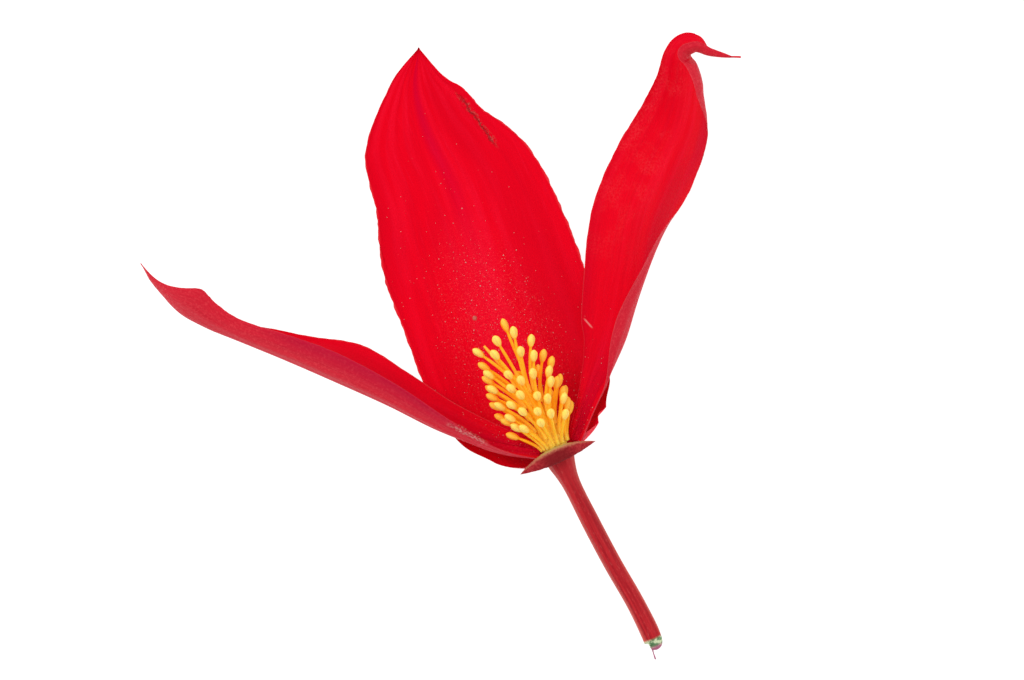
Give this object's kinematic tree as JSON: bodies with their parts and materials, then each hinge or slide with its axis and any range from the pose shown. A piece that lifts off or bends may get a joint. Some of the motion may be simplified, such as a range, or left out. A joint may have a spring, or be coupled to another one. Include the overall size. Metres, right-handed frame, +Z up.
{
  "type": "cut begonia flower",
  "caption": "Cut male flower of a trailing red begonia, lying on its broad back tepal and stalk, with two narrow inner tepals and a column of stamens.",
  "frame": {"origin": "middle of the flower's footprint on the surface it lies on", "axes": "+Y along the flower's axis from the torn stalk end to the tip of the back tepal, +Z up from the surface, +X towards the right inner tepal"},
  "size_m": [0.0788, 0.0828, 0.0131],
  "materials": {
    "tepal_back": "soft satin petal, bright red inner face, faint purple midrib",
    "tepal_left": "soft satin petal, bright red inner face, dull rose-red outer face",
    "tepal_right": "soft satin petal, bright red inner face, dull rose-red outer face",
    "tepal_stub": "cut petal base, orange-pink cut face over dark purple-red skin",
    "stalk": "smooth waxy stalk with darker and lighter streaks along it",
    "column": "moist waxy greenish yellow",
    "stamen": "waxy orange-yellow filament with a pale yellow anther"
  },
  "bodies": {
    "root": {"inner_tepal_left": "tepal_left", "inner_tepal_right": "tepal_right", "outer_tepal_back": "tepal_back", "outer_tepal_front_stub": "tepal_stub", "pedicel": "stalk", "stamen_01": "stamen", "stamen_02": "stamen", "stamen_03": "stamen", "stamen_04": "stamen", "stamen_05": "stamen", "stamen_06": "stamen", "stamen_07": "stamen", "stamen_08": "stamen", "stamen_09": "stamen", "stamen_10": "stamen", "stamen_11": "stamen", "stamen_12": "stamen", "stamen_13": "stamen", "stamen_14": "stamen", "stamen_15": "stamen", "stamen_16": "stamen", "stamen_17": "stamen", "stamen_18": "stamen", "stamen_19": "stamen", "stamen_20": "stamen", "stamen_21": "stamen", "stamen_22": "stamen", "stamen_23": "stamen", "stamen_24": "stamen", "stamen_25": "stamen", "stamen_26": "stamen", "stamen_27": "stamen", "stamen_28": "stamen", "stamen_29": "stamen", "stamen_30": "stamen", "stamen_31": "stamen", "stamen_32": "stamen", "stamen_33": "stamen", "stamen_34": "stamen", "stamen_35": "stamen", "stamen_36": "stamen", "stamen_37": "stamen", "stamen_38": "stamen", "stamen_39": "stamen", "stamen_40": "stamen", "stamen_41": "stamen", "stamen_42": "stamen", "stamen_43": "stamen", "stamen_44": "stamen", "stamen_45": "stamen", "stamen_46": "stamen", "stamen_47": "stamen", "stamen_48": "stamen", "stamen_49": "stamen", "stamen_50": "stamen", "stamen_51": "stamen", "stamen_52": "stamen", "stamen_53": "stamen", "stamen_54": "stamen", "staminal_column": "column"}
  },
  "joints": []
}
